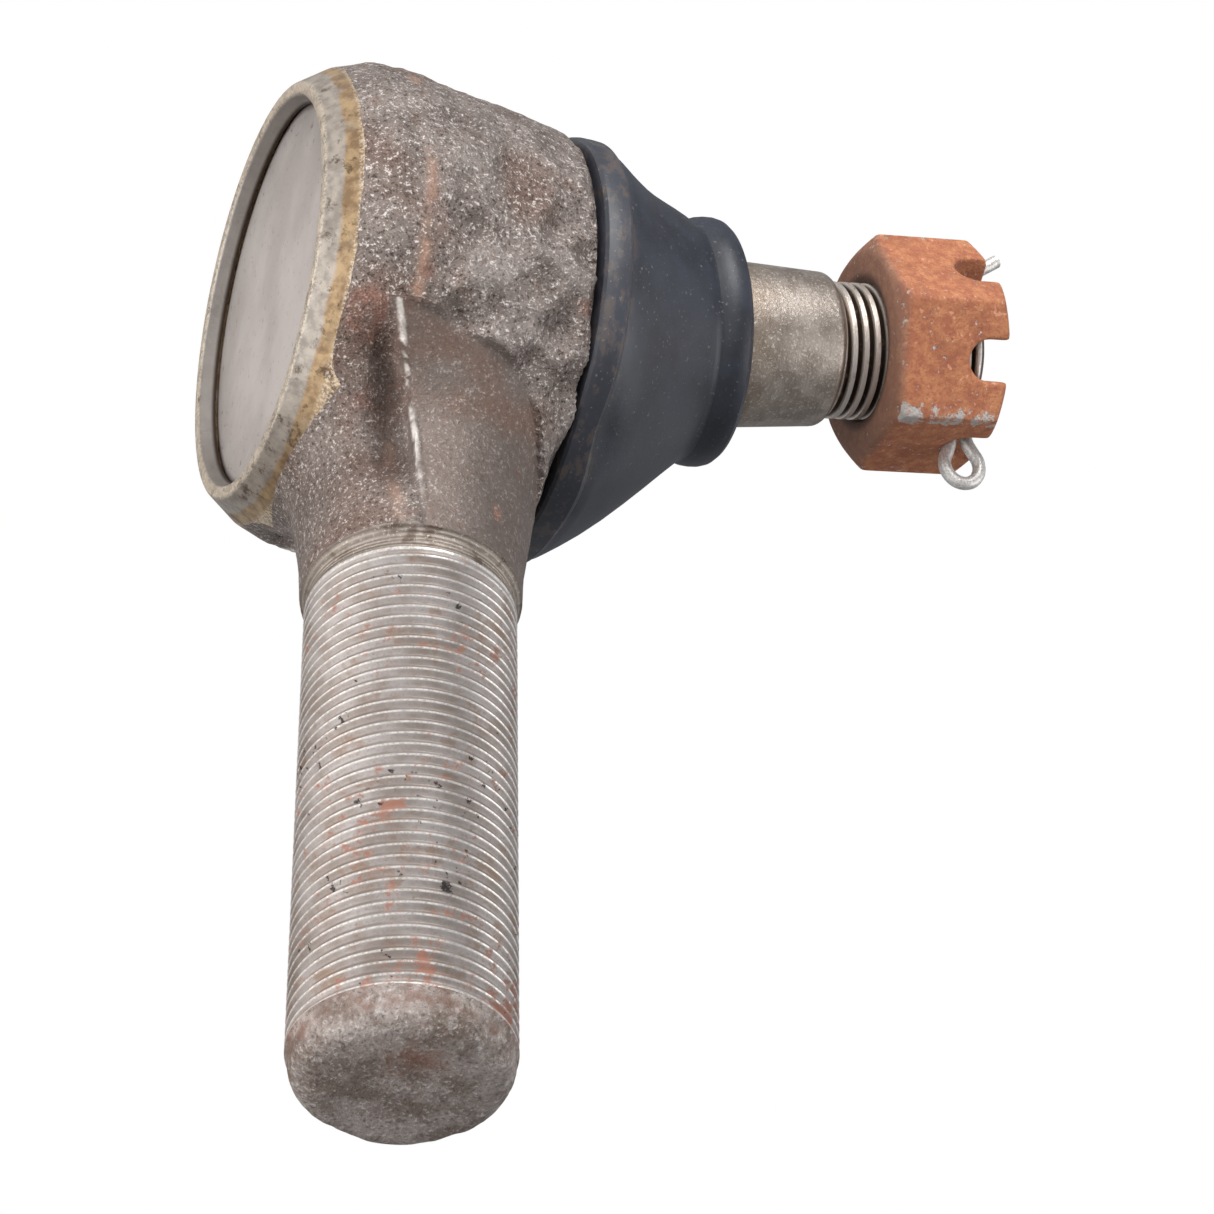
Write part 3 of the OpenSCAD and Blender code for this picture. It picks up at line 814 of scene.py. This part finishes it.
stud = turned("stud_body", stud_line, 128)
stud_thread = threaded("stud_thread", stud_r, shank_pitch, 0.78 * mm, thread_foot, thread_top, 96,
                       (0.9 * mm, 0.9 * mm), root=0.12, crest=0.42)
carry_on(stud_thread, [(stud_r, thread_top), (stud_r - 0.8 * mm, stud_end - 0.05 * mm),
                       (stud_r - 1.2 * mm, stud_end), (4 * mm, stud_end), (1 * mm, stud_end)])
carry_on(stud_thread, [(stud_r, thread_foot), (stud_r - 1 * mm, thread_foot), (1 * mm, thread_foot)])
drill = turned("cotter_drill", [(1.8 * mm, -12 * mm), (1.8 * mm, 12 * mm)], 32)
across_stud = Matrix.Translation((0, 0, cotter_at)) @ Matrix.Rotation(nut_turn, 4, "Z")
drill.data.transform(across_stud @ Matrix.Rotation(math.pi / 2, 4, "Y"))


def stud_steel(name, thread=False):
    """Ground stud steel: pale, yellow-brown tint, bright speckles; on the thread, painted shade in the roots and
    painted highlights on the crests.
    """
    steel = Finish(name, metallic=0.85)
    x, y, z = steel.parts(steel.seen_along(stud_way))
    fine = steel.grain(0.35, 4, 0.65)
    if thread:
        # on the thread: painted shade in the roots and painted highlight on the crests, by distance from the axis
        crest = steel.off_axis(x, y).between(stud_r / mm - 0.4, stud_r / mm - 0.05)
        steel.colour = steel.mix(crest, "4a3c33", "d5cbc2")
        steel.coat(steel.grain(1.2, 4, 0.65).between(0.55, 0.7) * 0.5, "8b7560")
    else:
        steel.colour = steel.mix(steel.grain(3, 4, 0.6).between(0.35, 0.65), "b5a99f", "968a80")
        tint = z.between(taper_end / mm - 3, taper_start / mm) * 0.6 + (steel.grain(5, 3) - 0.5) * 0.5
        steel.coat(tint.between(0.1, 0.7) * 0.5, "806a50")
        steel.coat(fine.between(0.55, 0.66) * 0.7, "ddd6ce")
        rings = steel.grain(0.5, 3, 0.6, where=steel.seen_along(stud_way), stretch=(0.08, 0.08, 1))
        steel.coat(rings.between(0.5, 0.7) * 0.3, "7b6d62")
        steel.coat(z.between(taper_end / mm, taper_end / mm + 0.9) * 0.45, "6e5f52")
    steel.set("Base Color", steel.colour)
    steel.set("Roughness", fine * 0.2 + 0.28)
    steel.raise_skin(fine, 0.05)
    return steel.material


stud.data.materials.append(stud_steel("stud_steel"))
stud_thread.data.materials.append(stud_steel("stud_thread_steel", thread=True))
machine(stud_thread, drill)
only(stud, stud_thread)
bpy.ops.object.join()
stud.data.transform(along(stud_way))
smooth_soft_edges(stud, 50)
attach(stud, "stud")
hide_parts("ball_stud")

# ---- slotted nut ---------------------------------------------------------------------
# A forged hexagon nut with six slots for the cotter pin, screwed onto the stud. It is rusted
# orange-brown, and bright steel shows along the edges and on the faces a wrench has rubbed.
nut_af = 24 * mm
nut_r = nut_af / math.sqrt(3)
nut_high = 13.9 * mm
nut_top = nut_face + nut_high
slot_w = 4.8 * mm
slot_floor = nut_top - 5 * mm
nut_face_r = 11.5 * mm
only()
bpy.ops.mesh.primitive_cylinder_add(vertices=6, radius=nut_r, depth=nut_high)
nut = bpy.context.object
nut.name = "rusted_nut"
nut_middle = nut_face + nut_high / 2
nut.data.transform(Matrix.Translation((0, 0, nut_middle)) @ Matrix.Rotation(nut_turn, 4, "Z"))
chamfer_r = nut_face_r + 3 * mm
chamfer_high = 1.55 * mm
chamfer_line = [(2 * mm, nut_face), (nut_face_r, nut_face), (chamfer_r, nut_face + chamfer_high),
                (chamfer_r, nut_top - chamfer_high), (nut_face_r, nut_top), (2 * mm, nut_top)]
chamfer = turned("chamfer_tool", chamfer_line, 96)
machine(nut, chamfer, "INTERSECT")
for turn in (0, 60, 120):
    only()
    bpy.ops.mesh.primitive_cylinder_add(vertices=32, radius=slot_w / 2, depth=4 * nut_r)
    slot_tool = bpy.context.object
    shape = points_of(slot_tool)
    shape[:, 0] = np.where(shape[:, 0] > 0.001 * mm, shape[:, 0] + 2 * slot_w, shape[:, 0])
    shape = np.stack([shape[:, 2], shape[:, 1], shape[:, 0]], axis=1)
    move_points(slot_tool, shape)
    slot_tool.data.transform(Matrix.Rotation(nut_turn + math.radians(turn), 4, "Z")
                             @ Matrix.Translation((0, 0, slot_floor + slot_w / 2)))
    close_up(slot_tool)
    machine(nut, slot_tool)
nut_bore_r = stud_r - 0.5 * mm
nut_mouth_r = stud_r + 1.4 * mm
nut_bore_line = [(nut_mouth_r, nut_face - 1 * mm), (nut_bore_r, nut_face + 1.0 * mm),
                 (nut_bore_r, nut_top - 1.0 * mm), (nut_mouth_r, nut_top + 1 * mm)]
bore_tool = turned("nut_bore_tool", nut_bore_line, 64)
machine(nut, bore_tool)
nut_grain = 0.22 * mm
finish_with(nut, "REMESH", mode="VOXEL", voxel_size=nut_grain)
finish_with(nut, "SMOOTH", factor=0.5, iterations=22)


def rusted_steel():
    """Even orange-brown rust, darker in patches, worn to bare steel on corners and in specks."""
    rust = Finish("rusted_nut_steel", metallic=0.15)
    x, y, z = rust.parts(rust.seen_along(stud_way))
    fine = rust.grain(0.3, 4, 0.65)
    medium = rust.grain(1.1, 5, 0.65)
    broad = rust.grain(4.5, 4, 0.6)
    rust.colour = rust.mix(medium.between(0.35, 0.65), "9a5b40", "b37750")
    rust.coat(broad.between(0.48, 0.64) * 0.5, "8a4f36")
    rust.coat(fine.between(0.5, 0.36) * 0.5, "7a4430")
    rust.coat(rust.grain(0.8, 3, 0.6).between(0.6, 0.7) * 0.5, "dba283")
    low_end = z.between(nut_face / mm + 1.6, nut_face / mm + 0.1)
    rust.coat(low_end * 0.65, "6b5448")
    corner = rust.off_axis(x, y).between(12.8, 13.4) * 0.27
    rubbed = (x * 0.97 - y * 0.242).between(12.5, 13.3)
    near_face = z.between(nut_face / mm + 1.9, nut_face / mm + 0.5)
    end_edge = near_face * rust.off_axis(x, y).between(11.2, 12.2)
    worn = corner + rubbed * 0.37 + end_edge * 0.33
    wear = (worn + (rust.grain(1.6, 5, 0.7) - 0.5) * 2.4).between(0.52, 0.85)
    scattered = (rust.grain(0.7, 4, 0.6) + (broad - 0.5) * 0.4).between(0.67, 0.73)
    bare = rust.node("ShaderNodeMath", {"operation": "MAXIMUM"}, {0: wear, 1: scattered})
    rust.coat(bare, rust.mix(fine, "9c948e", "e0dbd6"))
    inside = rust.off_axis(x, y).between(9.6, 8.6)
    rust.coat(inside * 0.75, "3c2a20")
    rust.set("Base Color", rust.colour)
    rust.set("Metallic", bare * 0.75 + 0.1)
    rust.set("Roughness", 0.72 - bare * 0.36)
    rust.raise_skin(fine * 0.5 + medium * 0.8 - bare * 0.4, 0.16)
    return rust.material


nut.data.materials.clear()
nut.data.materials.append(rusted_steel())
nut.data.transform(along(stud_way))
smooth_soft_edges(nut, 40)
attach(nut, "stud")
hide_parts("slotted_nut")

# ---- cotter pin ----------------------------------------------------------------------
# Bright drawn steel wire folded to a split pin: a pear-shaped eye, and two legs side by side
# through the slots, the short one cut off in its slot and the long one bent up over the nut.
wire_r = 0.78 * mm
leg_up = math.radians(60)
leg_apart = 0.8
eye_wide, eye_high, eye_at = 2.35, 2.15, 14.2
bend_r = 1.6
bend_at = -7.9
eye_turn = np.radians(np.linspace(-128, 128, 25))
cotter_path = [(x, -leg_apart) for x in (-11.0, -6.0, 0, 7.0)] + [(10.2, -0.85), (11.6, -1.15)]
cotter_path += [(eye_at + eye_wide * math.cos(a), eye_high * math.sin(a)) for a in eye_turn]
cotter_path += [(11.6, 1.15), (10.2, 0.85)] + [(x, leg_apart) for x in (7.0, 0, -6.0)]
cotter_path += [(bend_at - bend_r * math.sin(a), leg_apart + bend_r - bend_r * math.cos(a))
                for a in np.linspace(0, leg_up, 8)]
bend_end = cotter_path[-1]
cotter_path += [(bend_end[0] - t * math.cos(leg_up), bend_end[1] + t * math.sin(leg_up))
                for t in (1, 3, 5, 7.2, 8.2)]
curve = bpy.data.curves.new("split_pin", "CURVE")
curve.dimensions = "3D"
curve.bevel_depth = wire_r
curve.bevel_resolution = 5
curve.use_fill_caps = True
spline = curve.splines.new("POLY")
spline.points.add(len(cotter_path) - 1)
for point, (x, height) in zip(spline.points, cotter_path):
    point.co = (x * mm, 0, height * mm, 1)
pin_curve = bpy.data.objects.new("split_pin", curve)
bpy.context.scene.collection.objects.link(pin_curve)
only(pin_curve)
bpy.ops.object.convert(target="MESH")
pin = bpy.context.object
pin.name = "split_pin"
pin.data.materials.clear()


def drawn_wire():
    """Bright drawn wire with faint marks along it and dull rubs here and there."""
    wire = Finish("drawn_wire", metallic=0.6)
    fine = wire.grain(0.25, 3, 0.6)
    wire.colour = wire.mix(fine.between(0.35, 0.65), "b9b5b0", "dedbd8")
    wire.coat(wire.grain(1.6, 4).between(0.55, 0.7) * 0.5, "84786e")
    wire.set("Base Color", wire.colour)
    wire.set("Roughness", fine * 0.2 + 0.32)
    return wire.material


pin.data.materials.append(drawn_wire())
pin.data.transform(along(stud_way) @ across_stud)
smooth_soft_edges(pin, 50)
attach(pin, "stud")
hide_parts("cotter_pin")

# ---- dust boot -----------------------------------------------------------------------
# Moulded black rubber: a thick rim on the socket, a thin concave cone, and a rounded lip that
# grips the stud. It is turned straight here and then leaned over onto the stud.
boot_profile = [(17.6, 12.95), (20, 12.93), (23.5, 12.95), (24.2, 13.1), (24.5, 13.45), (24.62, 14),
                (24.63, 15.2), (24.58, 15.95), (24.3, 16.3), (23.9, 16.5), (23.5, 17.45), (23.05, 18.1),
                (22.05, 19.5), (20.9, 21.1), (19.55, 22.9), (18.2, 24.7), (16.85, 26.6), (15.6, 28.4),
                (14.65, 29.8), (14.15, 30.5), (13.9, 30.95), (13.85, 31.3), (14.0, 31.7), (14.2, 32.3),
                (14.3, 33.1), (14.28, 33.9), (14.1, 34.6), (13.7, 35.1), (13.1, 35.36), (12.3, 35.46),
                (11.4, 35.44), (10.7, 35.25), (10.2, 34.9), (9.92, 34.4), (9.88, 33.5), (9.88, 31.4),
                (10.2, 31.05), (11.2, 30.95), (12.2, 30.4), (13.2, 28.8), (14.6, 26.4), (16.1, 23.9),
                (17.4, 21.9), (18.9, 19.7), (20.2, 18.0), (20.6, 16.9), (20.2, 16.55), (18.6, 16.6),
                (17.7, 16.4), (17.5, 15.9), (17.5, 13.4)]
boot = turned("dust_boot_skin", [(r * mm, z * mm) for r, z in boot_profile], 192, ring=True)
boot_points = points_of(boot)
boot_radius = np.hypot(boot_points[:, 0], boot_points[:, 1])
boot_turn = np.degrees(np.arctan2(boot_points[:, 1], boot_points[:, 0]))
above_rim = step_up(boot_points[:, 2], 17.4 * mm, 19.4 * mm)
outer = step_up(boot_radius, 21.5 * mm, 23.3 * mm) * (1 - above_rim)
soft_wave = fractal(boot_points * np.array([1, 1, 0.3]), 11 * mm, 2) * 0.16 * mm
dent = -0.55 * mm * bump_at(boot_turn + 22, 14) - 0.2 * mm * bump_at(boot_turn + 60, 9)
sink = (soft_wave - 0.12 * mm + dent) * outer
scale = 1 + sink / boot_radius
boot_points[:, 0] *= scale
boot_points[:, 1] *= scale
top_wave = (0.35 * bump_at(boot_turn + 5, 12) - 0.4 * bump_at(boot_turn + 25, 10)) * mm
boot_points[:, 2] += top_wave * outer * step_up(boot_points[:, 2], 14.5 * mm, 16.6 * mm)
swing_axis = Vector(joints["stud_swing"]["axis"])
lean = up.angle(stud_way)
lean_sign = 1 if (Matrix.Rotation(lean, 3, swing_axis) @ up - stud_way).length < 1e-3 else -1
share = step_up(boot_points[:, 2], 16.9 * mm, 31 * mm)
axis = np.array(swing_axis)
angle = lean_sign * lean * share
along_axis = (boot_points @ axis)[:, None] * axis
sideways = np.cross(axis, boot_points)
leaned = (boot_points - along_axis) * np.cos(angle)[:, None] + sideways * np.sin(angle)[:, None]
move_points(boot, leaned + along_axis + np.array(ball))


def boot_rubber():
    """Black rubber with a faint blue bloom, brown scuffs on the rim and fine dust."""
    rubber = Finish("boot_rubber", metallic=0.0)
    _, _, z = rubber.parts(rubber.place)
    broad = rubber.grain(7, 3, 0.55)
    fine = rubber.grain(0.5, 4, 0.65)
    rubber.colour = rubber.mix(broad.between(0.35, 0.65), "1e2028", "2a2d37")
    on_rim = z.between(36.2, 34.6)
    smear = rubber.grain(2.2, 5, 0.7, stretch=(1, 1, 1.6)) + (broad - 0.5) * 0.4
    scuff = smear.between(0.48, 0.62) * on_rim
    rubber.coat(scuff * 0.35, "6a5644")
    rubber.coat(on_rim * 0.2, "4c4d53")
    rubber.coat(fine.between(0.62, 0.7) * 0.35, "8b8a8a")
    rubber.set("Base Color", rubber.colour)
    rubber.set("Roughness", broad * 0.12 + fine * 0.1 + 0.3)
    rubber.raise_skin(fine * 0.5 + broad, 0.05)
    return rubber.material


boot.data.materials.append(boot_rubber())
smooth_soft_edges(boot, 22)
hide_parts("dust_boot")
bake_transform(boot)

# ---- floor, backdrop and light -------------------------------------------------------
# A pale matt floor under the rim's flat, clear when it is seen from below, a white surround
# that lights the part only dimly, and soft square lights round it and overhead.
world = bpy.data.worlds.new("surround")
bpy.context.scene.world = world
world.use_nodes = True
nodes = world.node_tree.nodes
links = world.node_tree.links
either = nodes.new("ShaderNodeMixShader")
links.new(nodes.new("ShaderNodeLightPath").outputs["Is Camera Ray"], either.inputs[0])
dim, bright = nodes["Background"], nodes.new("ShaderNodeBackground")
skies = ((dim, (0.82, 0.84, 0.87, 1), 0.3), (bright, (1, 1, 1, 1), 1.0))
for place, (sky, colour, strength) in enumerate(skies, 1):
    sky.inputs["Color"].default_value = colour
    sky.inputs["Strength"].default_value = strength
    links.new(sky.outputs[0], either.inputs[place])
links.new(either.outputs[0], nodes["World Output"].inputs["Surface"])

only()
bpy.ops.mesh.primitive_plane_add(size=6)
floor = bpy.context.object
floor.name = "pale_floor"
floor.data.transform(Matrix.Translation((0, 0, -0.05 * mm)))
pale = Finish("pale_floor", roughness=0.8)
pale.set("Base Color", (0.95, 0.95, 0.95, 1))
from_below = pale.node("ShaderNodeNewGeometry", output="Backfacing")
matt = Value(pale, pale.shader.outputs[0])
clear = pale.node("ShaderNodeBsdfTransparent")
one_sided = pale.node("ShaderNodeMixShader", {}, {0: from_below, 1: matt, 2: clear})
pale.plug(pale.material.node_tree.nodes["Material Output"].inputs["Surface"], one_sided)
floor.data.materials.append(pale.material)
floor.visible_shadow = False


def light(name, place, turn, size, watts):
    """A soft square light."""
    data = bpy.data.lights.new(name, "AREA")
    data.size = size
    data.energy = watts
    lamp = bpy.data.objects.new(name, data)
    lamp.location = place
    lamp.rotation_euler = turn
    bpy.context.scene.collection.objects.link(lamp)


# how far right, above and toward the viewer each studio light stands, its distance, size and watts
studio = {"key": ((0.15, 1.0, 0.45), 0.6, 0.45, 4.8), "left": ((-1.0, 0.1, 0.6), 0.6, 0.5, 4.6),
          "front": ((0.2, 0.35, 1.0), 0.8, 0.5, 1.2), "right": ((1.0, -0.1, 0.2), 0.6, 0.4, 1.0)}
for name, (from_viewer, distance, size, watts) in studio.items():
    way = (camera.matrix_world.to_3x3() @ Vector(from_viewer)).normalized()
    light(name, camera_target + way * distance, way.to_track_quat("Z", "Y").to_euler(), size, watts)
light("ceiling", (0, 0, 1.2), (0, 0, 0), 1.6, 3)
bpy.context.scene.view_settings.view_transform = "Standard"
